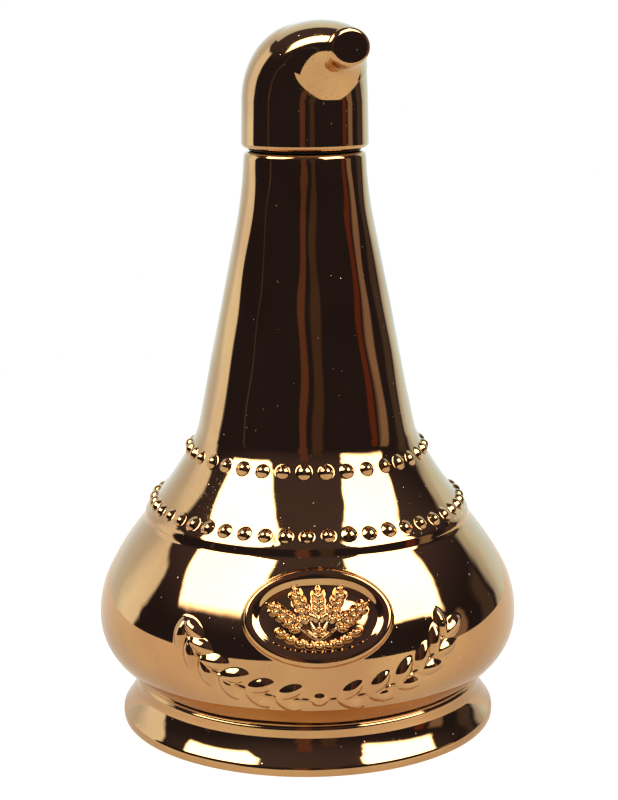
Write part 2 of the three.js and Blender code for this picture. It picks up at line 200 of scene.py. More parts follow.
class Nodes:
    """Short calls that add nodes to a tree and link them."""

    def __init__(self, tree):
        self.tree = tree
        tree.nodes.clear()

    def add(self, kind, inputs=None, **settings):
        node = self.tree.nodes.new(kind)
        for name, value in settings.items():
            setattr(node, name, value)
        for socket, value in (inputs or {}).items():
            self.set(node.inputs[socket], value)
        return node

    def set(self, socket, value):
        if isinstance(value, bpy.types.NodeSocket):
            self.tree.links.new(value, socket)
        else:
            socket.default_value = value

    def math(self, operation, a, b=0.0, clamp=False):
        node = self.add("ShaderNodeMath", {0: a, 1: b}, operation=operation, use_clamp=clamp)
        return node.outputs[0]

    def times(self, a, b):
        return self.math("MULTIPLY", a, b)

    def plus(self, a, b, clamp=False):
        return self.math("ADD", a, b, clamp)

    def minus(self, a, b):
        return self.math("SUBTRACT", a, b)

    def smooth(self, value, low, high, start=0.0, end=1.0):
        """An eased change from start, where the value is low, to end, where it is high."""
        ranges = {"Value": value, "From Min": low, "From Max": high, "To Min": start, "To Max": end}
        return self.add("ShaderNodeMapRange", ranges, interpolation_type="SMOOTHSTEP").outputs[0]

    def mix(self, factor, a, b):
        node = self.add("ShaderNodeMix", data_type="RGBA")
        self.set(node.inputs["Factor"], factor)
        self.set(node.inputs[6], a)
        self.set(node.inputs[7], b)
        return node.outputs[2]

    def noise(self, vector, scale, detail, roughness=0.5):
        inputs = {"Scale": scale, "Detail": detail, "Roughness": roughness, "Vector": vector}
        return self.add("ShaderNodeTexNoise", inputs).outputs["Fac"]

    def camera_ray(self):
        """1 for what the camera sees directly, 0 for reflections."""
        return self.add("ShaderNodeLightPath").outputs["Is Camera Ray"]


class Sky:
    """Soft-edged masks over the directions that surround the decanter."""

    def __init__(self, nodes):
        self.nodes = nodes
        direction = nodes.add("ShaderNodeTexCoord").outputs["Generated"]
        x, y, z = nodes.add("ShaderNodeSeparateXYZ", {0: direction}).outputs
        self.elevation = nodes.times(nodes.math("ARCSINE", z), DEGREES)
        level = nodes.times(nodes.math("ARCTAN2", x, nodes.times(y, -1.0)), DEGREES)
        noise = nodes.noise(direction, WANDER["scale"], WANDER["detail"])
        self.azimuth = nodes.plus(level, nodes.times(nodes.minus(noise, 0.5), WANDER["reach"]))

    def window(self, value, low, high, soft):
        nodes = self.nodes
        past_low = nodes.smooth(value, low - soft, low + soft)
        before_high = nodes.smooth(value, high + soft, high - soft)
        return nodes.times(past_low, before_high)

    def panel(self, azimuths, elevations, soft):
        across = self.window(self.azimuth, *azimuths, soft)
        return self.nodes.times(across, self.window(self.elevation, *elevations, soft))

    def softbox(self, box):
        """A tilted panel: its lower edge is level in space, and its sides lean as they rise."""
        nodes, soft = self.nodes, SOFTBOX_EDGE
        turn = nodes.times(nodes.minus(self.azimuth, box["facing"]), math.pi / 180)
        bottom = nodes.math("ARCTANGENT", nodes.times(nodes.math("COSINE", turn), box["slope"]))
        over_bottom = nodes.minus(self.elevation, nodes.times(bottom, DEGREES))
        above = nodes.smooth(over_bottom, -soft["bottom"], soft["bottom"])
        below_top = nodes.smooth(self.elevation, *soft["top"])
        out = nodes.times(self.azimuth, math.copysign(1, box["facing"]))
        near = nodes.plus(nodes.times(self.elevation, box["near_lean"]), box["near"])
        far = nodes.plus(nodes.times(self.elevation, box["far_lean"]), box["far"])
        past_near = nodes.smooth(nodes.minus(out, near), -soft["near"], soft["near"])
        before_far = nodes.smooth(nodes.minus(out, far), soft["far"], -soft["far"])
        return nodes.times(nodes.times(past_near, before_far), nodes.times(above, below_top))

    def under_wall_top(self):
        behind = self.nodes.math("ABSOLUTE", self.azimuth)
        top = self.nodes.smooth(behind, *WALL_TOP["azimuths"], *WALL_TOP["elevations"])
        over = self.nodes.minus(self.elevation, top)
        return self.nodes.smooth(over, WALL_TOP["soft"], -WALL_TOP["soft"])


def studio_light(nodes):
    """The light from every direction: a dark room with faint streaks, two softboxes and two
    bright walls behind."""
    sky = Sky(nodes)
    light = nodes.mix(nodes.smooth(sky.elevation, *ROOM["rise"]), ROOM["low"], ROOM["high"])
    for azimuths, elevations, soft, colour in STREAKS:
        light = nodes.mix(sky.panel(azimuths, elevations, soft), light, colour)
    for box in SOFTBOXES:
        light = nodes.mix(sky.softbox(box), light, SOFTBOX_COLOUR)
    under_top = sky.under_wall_top()
    for wall in WALLS:
        tone = wall["first"]
        for azimuths, next_tone in wall["next"]:
            tone = nodes.mix(nodes.smooth(sky.azimuth, *azimuths), tone, next_tone)
        mask = nodes.times(nodes.smooth(sky.azimuth, *wall["edge"]), under_top)
        light = nodes.mix(mask, light, tone)
    return light


def make_studio():
    """The world: what the decanter reflects, and plain white for the camera itself."""
    scene = bpy.context.scene
    scene.view_settings.view_transform = "Standard"
    world = bpy.data.worlds.new("studio")
    scene.world = world
    world.use_nodes = True
    nodes = Nodes(world.node_tree)
    light = nodes.mix(nodes.camera_ray(), studio_light(nodes), WHITE)
    background = nodes.add("ShaderNodeBackground", {"Color": light})
    output = nodes.add("ShaderNodeOutputWorld")
    nodes.set(output.inputs["Surface"], background.outputs[0])


def make_table():
    """A round white table that glows less in reflections than to the camera."""
    mesh = bpy.data.meshes.new("table")
    radius, sides = TABLE["radius_m"], TABLE["sides"]
    ring = [(radius * math.cos(a), radius * math.sin(a), 0.0)
            for a in (TURN * i / sides for i in range(sides))]
    mesh.from_pydata(ring, [], [list(range(sides))])
    table = bpy.data.objects.new("table", mesh)
    bpy.context.scene.collection.objects.link(table)
    material = bpy.data.materials.new("white_table")
    material.use_nodes = True
    nodes = Nodes(material.node_tree)
    glow = nodes.smooth(nodes.camera_ray(), 0.0, 1.0, TABLE["glow_reflected"], TABLE["glow_seen"])
    shade = nodes.add("ShaderNodeBsdfPrincipled", {
        "Base Color": TABLE["colour"], "Roughness": TABLE["roughness"],
        "Emission Color": TABLE["glow_colour"], "Emission Strength": glow,
    })
    nodes.set(nodes.add("ShaderNodeOutputMaterial").inputs["Surface"], shade.outputs[0])
    mesh.materials.append(material)


# ---- outlines: rows of (radius, z) ----------------------------------------------


def arc(centre_r, centre_z, radius, start, end):
    steps = max(2, int(radius * abs(math.radians(end - start)) / LINE_STEP))
    angles = np.radians(np.linspace(start, end, steps))
    return np.column_stack([centre_r + radius * np.cos(angles), centre_z + radius * np.sin(angles)])


def curve(first, bend, last):
    first, bend, last = (np.array(p, float) for p in (first, bend, last))
    t = np.linspace(0, 1, CURVE_POINTS)[:, None]
    return (1 - t) ** 2 * first + 2 * t * (1 - t) * bend + t ** 2 * last


def resample(parts, step=LINE_STEP):
    """One line of evenly spaced points through all the parts."""
    points = np.vstack([np.atleast_2d(np.array(p, float)) for p in parts])
    lengths = np.hypot(*np.diff(points, axis=0).T)
    keep = np.concatenate([[True], lengths > TINY])
    points = points[keep]
    travelled = np.concatenate([[0], np.cumsum(np.hypot(*np.diff(points, axis=0).T))])
    places = np.linspace(0, travelled[-1], int(travelled[-1] / step) + 1)
    return np.column_stack([np.interp(places, travelled, points[:, k]) for k in (0, 1)])


def soften(line, softness, step=LINE_STEP):
    """Rounds every corner, as a coat of glaze does; the two ends stay where they are."""
    reach = int(4 * softness / step)
    kernel = np.exp(-0.5 * (np.arange(-reach, reach + 1) * step / softness) ** 2)
    kernel /= kernel.sum()
    before = 2 * line[0] - line[reach:0:-1]
    after = 2 * line[-1] - line[-2:-reach - 2:-1]
    padded = np.vstack([before, line, after])
    return np.column_stack([np.convolve(padded[:, k], kernel, "valid") for k in (0, 1)])


def bulb_arcs(depth):
    """The bulb's lower and upper arcs, this deep under its surface."""
    lower_r, upper_r = BULB["lower_r"], BULB["upper_r"]
    equator_r, equator_z = BULB["equator_r"], BULB["equator_z"]
    lower = arc(equator_r - lower_r, equator_z, lower_r - depth, BULB["lowest_tilt"], 0)
    upper = arc(equator_r - upper_r, equator_z, upper_r - depth, 0, BULB["tilt"])
    return [lower, upper]


def outside_line():
    """From the edge of the foot's standing ring up to the crest of the rim."""
    foot, step = FOOT, STEP
    rim_r, rim_z, rounding = NECK["rim_r"], NECK["rim_z"], NECK["rim_round"]
    lower, upper = bulb_arcs(0)
    parts = [
        (foot["stand_outer"], 0.0),
        (foot["radius"], 0.0),
        curve((foot["radius"], foot["rim"]), foot["flare_bend"], (foot["bead_r"], foot["bead_z"])),
        (foot["bead_r"], foot["height"]),
        (foot["waist_r"], foot["height"] + foot["waist_rise"]),
        lower,
        upper,
        curve(upper[-1], BULB["shoulder_bend"], (step["radius"], step["z"])),
        (step["radius"] - step["draft"], step["z"] + step["lip"]),
        curve(BAND["bottom"], BAND["bend"], BAND["top"]),
        NECK["bottom"],
        curve(NECK["straight_top"], NECK["bend"], (rim_r, rim_z - rounding)),
        (rim_r - rounding, rim_z),
        (rim_r - NECK["crest"], rim_z),
    ]
    return soften(resample(parts), GLAZE_SOFTNESS)


def inside_line():
    """From the crest of the rim down through the mouth to the middle of the inside floor."""
    band_r, band_z = BAND["top"]
    wall, rim_z = INSIDE["wall"], NECK["rim_z"]
    lower, upper = bulb_arcs(wall)
    parts = [
        (NECK["rim_r"] - NECK["crest"], rim_z),
        (MOUTH["radius"] + MOUTH["flare"], rim_z),
        (MOUTH["radius"], rim_z - MOUTH["flare"]),
        (MOUTH["radius"], MOUTH["collar_z"]),
        (MOUTH["cone_r"], MOUTH["cone_z"]),
        (band_r - wall, band_z + INSIDE["shoulder_rise"]),
        (STEP["radius"] - wall, STEP["z"]),
        upper[::-1],
        lower[::-1],
        INSIDE["heel"],
        (INSIDE["floor_r"], INSIDE["floor_z"]),
        (0.0, INSIDE["floor_z"]),
    ]
    return resample(parts, HIDDEN_STEP)


def underside_line():
    """From the middle of the recess under the foot out to the standing ring's edge."""
    inner, recess = FOOT["stand_inner"], FOOT["recess"]
    parts = [
        (0.0, recess),
        (inner, recess),
        (inner + FOOT["recess_slope"], 0.0),
        (FOOT["stand_outer"], 0.0),
    ]
    return resample(parts, HIDDEN_STEP)


# ---- the relief on the outside ---------------------------------------------------


class Relief:
    """Raised shapes on the outside, as a height over (angle from the front, distance along the
    outline).  Every shape is a rising height that is negative away from it, and the glaze joins
    them to the surface with a soft fillet."""

    def __init__(self, line, travelled):
        self.equator_s = travelled[np.argmax(line[:, 0])]
        self.line = line
        self.travelled = travelled
        self.rivets = [self.rivet_row(row) for row in RIVET_ROWS]
        self.seeds = sheaf_seeds() + garland_seeds()

    def rivet_row(self, row):
        """Where a row of rivets lies, and how each rivet in it differs from the rest."""
        on_band = self.line[:, 1] > BAND["bottom"][1]
        nearest = np.argmin(np.abs(self.line[on_band, 1] - row["z"]))
        s = self.travelled[on_band][nearest]
        count = row["count"]
        return {
            "s": s,
            "r": np.interp(s, self.travelled, self.line[:, 0]),
            "count": count,
            "phase": math.radians(row["phase"]),
            "shift": rng.normal(0, RIVET_SPREAD["shift"], (count, 2)),
            "rise": RIVET["rise"] * rng.normal(1, RIVET_SPREAD["rise"], count),
            "radius": RIVET["radius"] * rng.normal(1, RIVET_SPREAD["radius"], count),
        }

    def emblem(self, x, y):
        """Heights of the medallion's ring and of every seed and leaf."""
        front = (np.abs(x) < EMBLEM_AREA["side"]) & (y > EMBLEM_AREA["bottom"]) & (y < EMBLEM_AREA["top"])
        front_x, front_y = x[front], y[front]
        shapes = [medallion_ring(front_x, front_y)]
        shapes += [seed_height(front_x, front_y, *seed) for seed in self.seeds]
        heights = np.full((len(shapes),) + x.shape, FAR_BELOW)
        heights[:, front] = shapes
        return heights

    def height(self, angle, s):
        wrapped = (angle + math.pi) % TURN - math.pi
        x = wrapped * BULB["equator_r"]
        y = s - self.equator_s
        raised = [np.zeros_like(angle)] + [rivet_height(row, angle, s) for row in self.rivets]
        stack = np.concatenate([np.array(raised), self.emblem(x, y)]) / RELIEF_SOFTNESS
        top = stack.max(0)
        joined = RELIEF_SOFTNESS * (top + np.log(np.exp(stack - top).sum(0)))
        return joined + panel_sink(x, y) + glaze_ripple(angle, s)


def rivet_height(row, angle, s):
    """A low dome at the nearest rivet of the row."""
    pitch = TURN / row["count"]
    number = np.round((angle - row["phase"]) / pitch)
    index = number.astype(int) % row["count"]
    across = (angle - row["phase"] - number * pitch) * row["r"] + row["shift"][index, 0]
    along = s - row["s"] + row["shift"][index, 1]
    near = (across ** 2 + along ** 2) / row["radius"][index] ** 2
    return row["rise"][index] * (1 - near)


def medallion_ring(x, y):
    """The oval moulding: a steep outer slope, a crest, and a long inner slope."""
    up = y - MEDALLION["y"]
    from_centre = np.hypot(x, up) + TINY
    oval = np.hypot(x / MEDALLION["half_width"], up / MEDALLION["half_height"]) + TINY
    outward = from_centre * (1 - 1 / oval)
    width = np.where(outward > 0, MEDALLION["outer_slope"], MEDALLION["inner_slope"])
    return MEDALLION["ring_rise"] * (1 - (outward / width) ** 2)


def panel_sink(x, y):
    """The panel inside the moulding lies a little below the bulb's own surface."""
    up = y - MEDALLION["y"]
    half_width = MEDALLION["half_width"] - PANEL["inset"]
    half_height = MEDALLION["half_height"] - PANEL["inset"]
    oval = np.hypot(x / half_width, up / half_height)
    return -PANEL["depth"] / (1 + np.exp((oval - PANEL["edge"]) * PANEL["steepness"]))


def glaze_ripple(angle, s):
    """Long, faint waves that make a fired glaze's reflections wander."""
    waves = np.zeros_like(angle)
    for height, count, drift, phase in RIPPLES:
        waves += height * np.sin(count * angle + drift * s + phase)
    sway = RINGS["sway"] * np.sin(RINGS["sways"] * angle)
    return waves + RINGS["height"] * np.sin(RINGS["drift"] * s + sway)


def seed_height(x, y, centre, turn, length, width, rise, rib):
    """A pointed seed or leaf whose length is turned from +y; rib is how sharp its midrib is."""
    along = -(x - centre[0]) * math.sin(turn) + (y - centre[1]) * math.cos(turn)
    across = (x - centre[0]) * math.cos(turn) + (y - centre[1]) * math.sin(turn)
    side = across / width
    side = rib * np.sqrt(side ** 2 + RIB_ROUNDING) + (1 - rib) * side ** 2
    return rise * (1 - (along / length) ** 2 - side)


def ear_seeds(root, turn):
    """An ear of barley: its stalk, two ranks of grains and one grain at the tip."""
    out = np.array([-math.sin(turn), math.cos(turn)])
    side = np.array([math.cos(turn), math.sin(turn)])
    stretch = 1.0 + SHEAF["side_stretch"] * abs(math.sin(turn))
    seeds = [(root + out * SHEAF["stalk_out"], turn, *STALK)]
    for i in range(SHEAF["grains"]):
        middle = root + out * (SHEAF["grain_out"] + SHEAF["grain_gap"] * i) * stretch
        rank_out = SHEAF["rank_out"] - SHEAF["rank_narrows"] * i
        for hand in (-1, 1):
            seeds.append((middle + side * hand * rank_out, turn - hand * SHEAF["splay"], *GRAIN))
    seeds.append((root + out * SHEAF["tip_out"] * stretch, turn, *TIP_GRAIN))
    return seeds


def sheaf_seeds():
    """A tied sheaf of five ears of barley on a low mound, over a rope of oval lumps that follows
    the bottom of the panel."""
    level = math.pi / 2
    mound = np.array([0.0, MEDALLION["y"] - SHEAF["mound_drop"]])
    root = np.array([0.0, MEDALLION["y"] - SHEAF["root_drop"]])
    seeds = [(mound, level, *MOUND)]
    for turn in np.radians(SHEAF["ears"]):
        seeds += ear_seeds(root, turn)
    for gap in (-SHEAF["tie_gap"], SHEAF["tie_gap"]):
        seeds.append((root + np.array([0.0, SHEAF["tie_out"] + gap]), level, *TIE))
    for share in np.linspace(-1, 1, ROPE["lumps"]):
        y = MEDALLION["y"] - ROPE["drop"] + ROPE["sag"] * share ** 2
        place = np.array([ROPE["half_width"] * share, y])
        seeds.append((place, level + ROPE["tilt"] * share, *ROPE_LUMP))
    return seeds


def on_garland(share):
    """A place on the garland's arc, from -1 at one end to 1 at the other, and the slope there."""
    angle = math.radians(GARLAND["reach"] * share)
    width, height = GARLAND["half_width"], GARLAND["half_height"]
    place = np.array([width * math.sin(angle), MEDALLION["y"] - height * math.cos(angle)])
    return place, math.atan2(height * math.sin(angle), width * math.cos(angle))


def garland_seeds():
    """Two leafy sprays that hang in an arc below the medallion, from a round bud."""
    seeds = []
    splay = math.radians(GARLAND["splay"])
    for share in np.linspace(-1, 1, GARLAND["places"]):
        middle, slope = on_garland(share)
        if abs(share) < TINY:
            seeds.append((middle, 0.0, *BUD))
            continue
        outward = slope - math.copysign(math.pi / 2, share)
        across = np.array([-math.sin(slope), math.cos(slope)])
        for leaf in (-1, 1):
            seeds.append((middle + across * leaf * GARLAND["leaf_out"], outward + leaf * splay, *LEAF))
    reach = GARLAND["stem_reach"]
    for share in np.linspace(-reach, reach, GARLAND["stem_lumps"]):
        middle, slope = on_garland(share)
        seeds.append((middle, slope - math.pi / 2, *STEM_LUMP))
    return seeds


# ---- meshes --------------------------------------------------------------------

GLAZED, BARE = 0, 1  # a face's place in a piece's list of two materials


def make_object(name, points, faces, materials, face_material=None):
    """A smooth-shaded object from points in mm, linked to the scene."""
    mesh = bpy.data.meshes.new(name)
    mesh.from_pydata((np.asarray(points) * MM).tolist(), [], faces)
    for material in materials:
        mesh.materials.append(material)
    mesh.polygons.foreach_set("use_smooth", [True] * len(mesh.polygons))
    if face_material is not None:
        mesh.polygons.foreach_set("material_index", face_material)
    mesh.update()
    made = bpy.data.objects.new(name, mesh)
    bpy.context.scene.collection.objects.link(made)
    return made


def ring_faces(first, second, around):
    """Quads between two rings of vertices, given the first index of each."""
    return [(first + i, first + (i + 1) % around, second + (i + 1) % around, second + i)
            for i in range(around)]


def capped_faces(row_count, around):
    """Faces of a closed form whose points are one end, its rows of points, and the other end."""
    faces = [(0, 1 + (i + 1) % around, 1 + i) for i in range(around)]
    for k in range(row_count - 1):
        faces += ring_faces(1 + k * around, 1 + (k + 1) * around, around)
    last = 1 + (row_count - 1) * around
    return faces + [(last + i, last + (i + 1) % around, last + around) for i in range(around)]


def turned_rows(line, columns, wobble=None):
    """Rings of points for a solid of revolution; wobble adds to the radius."""
    angles = np.arange(columns) * TURN / columns
    rows = []
    for r, z in line:
        radius = r + (wobble(angles, z) if wobble else 0)
        x, y = radius * np.sin(angles), -radius * np.cos(angles)
        rows.append(np.column_stack([x, y, np.full(columns, z)]))
    return rows


class OutsideMesh:
    """The decanter's outside as a grid over angle and height whose cells split wherever the
    relief bends, so that the mirror finish stays smooth and the small shapes stay sharp."""

    COLUMNS = 180
    FINE = 8  # the finest steps along a whole cell's side
    SPLIT_ANGLES = {8: 1.2, 4: 2.2, 2: 4.5}  # degrees of bend that split a cell of this size
    ROW_GAP = 2.3  # mm between rows where the outline is straight
    ROWS_PER_BEND = 2.2
    MOST_BEND = 1.2  # radians in a mm
    NORMAL_STEP = 0.05

    def __init__(self):
        self.line = outside_line()
        steps = np.hypot(*np.diff(self.line, axis=0).T)
        self.travelled = np.concatenate([[0], np.cumsum(steps)])
        tangent = np.gradient(self.line, self.travelled, axis=0)
        tangent /= np.linalg.norm(tangent, axis=1)[:, None]
        self.outward = np.column_stack([tangent[:, 1], -tangent[:, 0]])
        self.relief = Relief(self.line, self.travelled)
        self.rows = self.row_places(tangent)

    def row_places(self, tangent):
        """Distances along the outline of the rows, which are closer where the outline bends."""
        bend = np.linalg.norm(np.gradient(tangent, self.travelled, axis=0), axis=1)
        density = 1 / self.ROW_GAP + self.ROWS_PER_BEND * np.minimum(bend, self.MOST_BEND)
        between = 0.5 * (density[1:] + density[:-1]) * np.diff(self.travelled)
        total = np.concatenate([[0], np.cumsum(between)])
        count = int(round(total[-1]))
        return np.interp(np.linspace(0, total[-1], count + 1), total, self.travelled)

    def point(self, angle, s):
        r, z = (np.interp(s, self.travelled, self.line[:, k]) for k in (0, 1))
        out_r, out_z = (np.interp(s, self.travelled, self.outward[:, k]) for k in (0, 1))
        rise = self.relief.height(angle, s) * self.fade(s)
        r = r + out_r * rise
        z = z + out_z * rise
        return np.column_stack([r * np.sin(angle), -r * np.cos(angle), z])

    def fade(self, s):
        """No relief or ripple at the standing ring and the rim."""
        last = self.travelled[-1]
        return np.clip(s / FADE["foot"], 0, 1) * np.clip((last - s) / FADE["rim"], 0, 1)

    def normal(self, angle, s):
        step = self.NORMAL_STEP
        turn = step / FOOT["radius"]
        low, high = np.maximum(s - step, 0), np.minimum(s + step, self.travelled[-1])
        east = self.point(angle + turn, s) - self.point(angle - turn, s)
        north = self.point(angle, high) - self.point(angle, low)
        out = np.cross(east, north)
        return out / np.linalg.norm(out, axis=1)[:, None]

    def flat_normal(self, angle, s):
        """The normal of the outline alone, without the relief."""
        out_r, out_z = (np.interp(s, self.travelled, self.outward[:, k]) for k in (0, 1))
        return np.column_stack([out_r * np.sin(angle), -out_r * np.cos(angle), out_z])

    def place(self, i, j):
        """Angle and distance along the outline of grid points."""
        angle = np.asarray(i) * TURN / (self.COLUMNS * self.FINE)
        row = np.asarray(j) / self.FINE
        return angle, np.interp(row, np.arange(len(self.rows)), self.rows)

    def bend(self, column, row, size):
        """The most that the relief tilts the surface within each cell, in degrees."""
        steps = (0, size / 2, size)
        places = [self.place(column + a, row + b) for a in steps for b in steps]
        tilts = [self.normal(*place) - self.flat_normal(*place) for place in places]
        middle = tilts[len(tilts) // 2]
        spread = [np.linalg.norm(tilt - middle, axis=1) for tilt in tilts]
        return np.degrees(np.max(spread, axis=0))

    def cells(self):
        """(column, row, size) of every cell, in steps of the finest grid."""
        size = self.FINE
        column, row = np.meshgrid(np.arange(self.COLUMNS) * size, np.arange(len(self.rows) - 1) * size)
        column, row = column.ravel(), row.ravel()
        done = []
        while size > 1:
            split = self.bend(column, row, size) > self.SPLIT_ANGLES[size]
            done += [(c, r, size) for c, r in zip(column[~split].tolist(), row[~split].tolist())]
            column, row = column[split], row[split]
            size //= 2
            column = np.concatenate([column, column + size, column, column + size])
            row = np.concatenate([row, row, row + size, row + size])
        return done + [(c, r, 1) for c, r in zip(column.tolist(), row.tolist())]

    def build(self):
        """Points, normals, faces and the last row's count; the last row's points come last and
        the first row's come first."""
        cells = self.cells()
        around = self.COLUMNS * self.FINE
        last = (len(self.rows) - 1) * self.FINE
        used = {((c + a) % around, r + b) for c, r, size in cells for a in (0, size) for b in (0, size)}
        bottom = sorted(v for v in used if v[1] == 0)
        middle = sorted(v for v in used if 0 < v[1] < last)
        top = sorted(v for v in used if v[1] == last)
        order = bottom + middle + top
        index = {v: k for k, v in enumerate(order)}

        def edge(column, row, step_column, step_row, length):
            """The used points along one side of a cell, without its last."""
            places = (((column + step_column * k) % around, row + step_row * k) for k in range(length))
            return [index[place] for place in places if place in index]

        faces = [
            edge(c, r, 1, 0, size)
            + edge(c + size, r, 0, 1, size)
            + edge(c + size, r + size, -1, 0, size)
            + edge(c, r + size, 0, -1, size)
            for c, r, size in cells
        ]
        grid = np.array(order)
        angle, s = self.place(grid[:, 0], grid[:, 1])
        return self.point(angle, s), self.normal(angle, s), faces, len(top)


class Shell:
    """The decanter's closed surface: the outside, and the rings that carry on from its edges."""

    def __init__(self, points, faces):
        self.blocks = [points]
        self.faces = faces
        self.kinds = [GLAZED] * len(faces)
        self.count = len(points)

    def add(self, points, faces, kind, flip):
        self.blocks.append(points)
        self.faces += [face[::-1] for face in faces] if flip else faces
        self.kinds += [kind] * len(faces)
        self.count += len(points)

    def close(self, edge, line, flip=False):
        """Rings along the line and a point on the axis, from the ring whose first index is edge."""
        columns = OutsideMesh.COLUMNS
        glazed_from = NECK["rim_z"] - MOUTH["glazed_depth"]
        for ring in turned_rows(line[:-1], columns):
            kind = GLAZED if ring[0, 2] > glazed_from else BARE
            faces = ring_faces(edge, self.count, columns)
            edge = self.count
            self.add(ring, faces, kind, flip)
        fan = [(edge + i, edge + (i + 1) % columns, self.count) for i in range(columns)]
        self.add(np.array([[0, 0, line[-1][1]]]), fan, BARE, flip)


def set_outside_normals(mesh, normals):
    """The exact normals for the first points; the others keep their own."""
    shading = np.zeros((len(mesh.vertices), 3))
    mesh.vertices.foreach_get("normal", shading.ravel())
    shading[:len(normals)] = normals
    mesh.normals_split_custom_set_from_vertices(shading.tolist())


def make_decanter(glaze, biscuit):
    """The bottle: its outside, the inside from the rim down, and the underside of the foot."""
    points, normals, faces, rim_count = OutsideMesh().build()
    shell = Shell(points, faces)
    shell.close(len(points) - rim_count, inside_line()[1:])
    shell.close(0, underside_line()[::-1][1:], flip=True)
    all_points = np.vstack(shell.blocks)
    made = make_object("glazed_decanter", all_points, shell.faces, [glaze, biscuit], shell.kinds)
    set_outside_normals(made.data, normals)
    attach(made, "decanter")
    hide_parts("decanter_body")


# ---- the stopper ------------------------------------------------------------------

ARM_TURN = math.radians(ARM["azimuth"])
ARM_WAY = np.array([math.sin(ARM_TURN), -math.cos(ARM_TURN), 0])
UP = np.array([0.0, 0.0, 1.0])
ACROSS = np.cross(UP, ARM_WAY)
ROUND = np.arange(HEAD["columns"])[:, None] * TURN / HEAD["columns"]


def distances_from_pivot(line, turns):
    """How far a curve in the arm's plane lies from the pivot, in each direction from level and
    backwards (0) to straight up (90 degrees)."""
    along, up = line[:, 0] - ARM["pivot"], line[:, 1] - HEAD["spring_z"]
    return np.interp(turns, np.arctan2(up, -along), np.hypot(along, up))


def head_profile():
    """The head's side view in the arm's plane: over the crown to the arm, and under the arm."""
    radius, spring = HEAD["radius"], HEAD["spring_z"]
    crown = (CROWN["along"], CROWN["z"])
    arm_top = (ARM["pivot"], ARM["z"] + ARM["half_height"])
    arm_bottom = (ARM["pivot"], ARM["z"] - ARM["half_height"])
    angles = np.linspace(0, math.pi / 2, CURVE_POINTS)
    back_along = CROWN["along"] - (radius + CROWN["along"]) * np.cos(angles)
    back = np.column_stack([back_along, spring + (CROWN["z"] - spring) * np.sin(angles)])
    over = np.vstack([back, curve(crown, CROWN["bend"], arm_top)])
    under = np.vstack([(radius, spring), curve((radius, THROAT["z"]), THROAT["bend"], arm_bottom)])
    return over, under


def head_sections(turns, depth):
    """Middle distance from the pivot, half length and half width of the sections at these turns."""
    over, under = head_profile()
    far = distances_from_pivot(over, turns)
    near = distances_from_pivot(under, turns)
    late = (turns / (math.pi / 2)) ** 2
    taper = EARLY_TAPER * np.sin(turns) ** 2 + (1 - EARLY_TAPER) * late
    half_width = HEAD["radius"] + (ARM["half_width"] - HEAD["radius"]) * taper
    return 0.5 * (far + near), 0.5 * (far - near) - depth, half_width - depth


def head_rings(last_turn, count, depth):
    """Rings of points round the bend, from level to a last turn in degrees."""
    turns = np.radians(np.linspace(0, last_turn, count))
    rings = []
    for turn, middle, half_length, half_width in zip(turns, *head_sections(turns, depth)):
        distance = middle + half_length * np.cos(ROUND)
        reach = distance * (UP * math.sin(turn) - ARM_WAY * math.cos(turn))
        pivot = ARM_WAY * ARM["pivot"] + UP * HEAD["spring_z"]
        rings.append(pivot + reach + ACROSS * (half_width * np.sin(ROUND)))
    return rings


def level_ring(r, z):
    return UP * z - ARM_WAY * (r * np.cos(ROUND)) + ACROSS * (r * np.sin(ROUND))


def arm_end():
    """The rounded edge of the arm's end and its slightly domed face."""
    middle = ARM_WAY * ARM["pivot"] + UP * ARM["z"]
    edge = ARM["edge"]
    steps = [(edge * math.sin(a), edge * (1 - math.cos(a)))
             for a in np.radians(np.linspace(*ARM["edge_turns"]))]
    steps += [(edge + ARM["dome"] * math.sin(s), edge + ARM["dome_width"] * s) for s in ARM["dome_rows"]]
    rings = []
    for out, inset in steps:
        upward = (ARM["half_height"] - inset) * np.cos(ROUND)
        sideways = (ARM["half_width"] - inset) * np.sin(ROUND)
        rings.append(middle + ARM_WAY * out + UP * upward + ACROSS * sideways)
    return rings


def head_inside():
    """The hollow from its top down, the socket for the cork, and the base outwards."""
    base, wall, radius = HEAD["base_z"], HEAD["wall"], HEAD["radius"]
    socket = CORK["top_r"] + SOCKET["clearance"]
    return head_rings(HOLLOW["turn"], HOLLOW["rows"], wall)[::-1] + [
        level_ring(radius - wall, base + wall),
        level_ring(socket, base + wall),
        level_ring(socket, base + SOCKET["flare"]),
        level_ring(socket + SOCKET["step"], base + SOCKET["step"]),
        level_ring(socket + SOCKET["flare"], base),
        level_ring(radius + HEAD["flare"] - HEAD["edge"], base),
    ]


def head_outside():
    """The rounded lower edge, the wall, the bend and the arm's end."""
    base, spring, edge = HEAD["base_z"], HEAD["spring_z"], HEAD["edge"]
    base_r = HEAD["radius"] + HEAD["flare"]
    rows = [level_ring(base_r - edge * (1 - math.sin(a)), base + edge * (1 - math.cos(a)))
            for a in np.radians(np.linspace(*HEAD["edge_turns"]))]
    for z in np.linspace(base + edge, spring, HEAD["wall_rows"])[:-1]:
        rows.append(level_ring(HEAD["radius"] + HEAD["flare"] * (spring - z) / (spring - base), z))
    return rows + head_rings(90, HEAD["bend_rows"], 0.0) + arm_end()


def make_head(glaze, biscuit):
    columns = HEAD["columns"]
    inside, outside = head_inside(), head_outside()
    rows = inside + outside
    points = np.vstack([rows[0].mean(0), *rows, rows[-1].mean(0)])
    bare, glazed = (len(inside) + 1) * columns, len(outside) * columns
    kinds = [BARE] * bare + [GLAZED] * glazed
    made = make_object("glazed_head", points, capped_faces(len(rows), columns), [glaze, biscuit], kinds)
    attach(made, "stopper")
    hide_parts("stopper_head")


